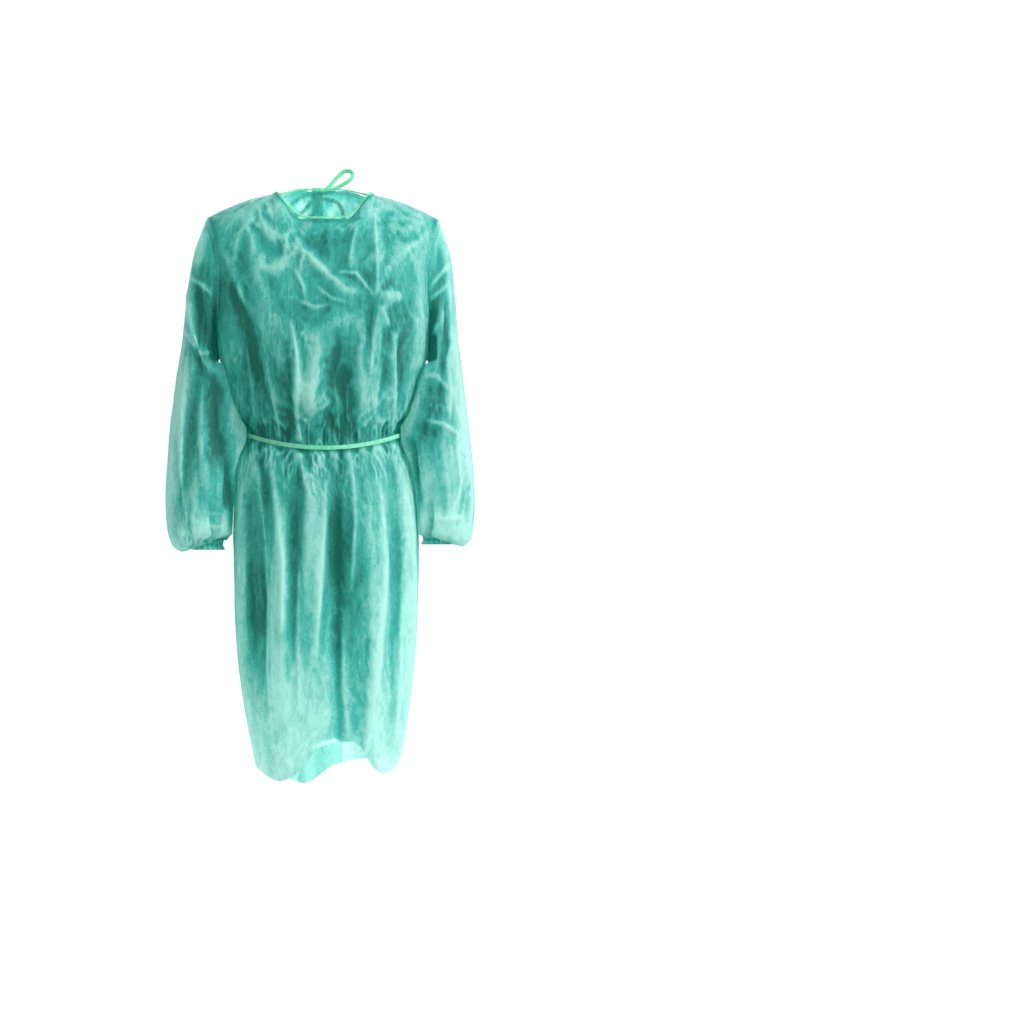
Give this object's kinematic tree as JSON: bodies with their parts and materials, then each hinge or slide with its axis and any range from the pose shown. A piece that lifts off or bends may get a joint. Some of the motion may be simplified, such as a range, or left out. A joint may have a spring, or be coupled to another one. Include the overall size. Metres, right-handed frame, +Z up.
{
  "type": "isolation gown",
  "caption": "Disposable isolation gown of thin green non-woven cloth, worn form: long sleeves, elastic cuffs, bound neck, and a belt tied in a bow at the back.",
  "frame": {"origin": "middle of the neck opening, level with the points where the shoulder seams meet the neckline", "axes": "+Z up, the front faces -Y, +X is the wearer's left"},
  "size_m": [0.5974, 0.3061, 1.2191],
  "materials": {
    "nonwoven_cloth": "matte",
    "binding_strip": "matte"
  },
  "bodies": {
    "root": {"front": "nonwoven_cloth", "back_left": "nonwoven_cloth", "back_right": "nonwoven_cloth", "sleeve_left": "nonwoven_cloth", "sleeve_right": "nonwoven_cloth", "cuff_left": "nonwoven_cloth", "cuff_right": "nonwoven_cloth", "neck_binding": "binding_strip", "neck_knot": "binding_strip", "neck_loop_left": "binding_strip", "neck_loop_right": "binding_strip", "neck_tail_left": "binding_strip", "neck_tail_right": "binding_strip", "belt": "binding_strip", "belt_knot": "binding_strip", "belt_loop_left": "binding_strip", "belt_loop_right": "binding_strip", "belt_tail_left": "binding_strip", "belt_tail_right": "binding_strip"}
  },
  "joints": []
}
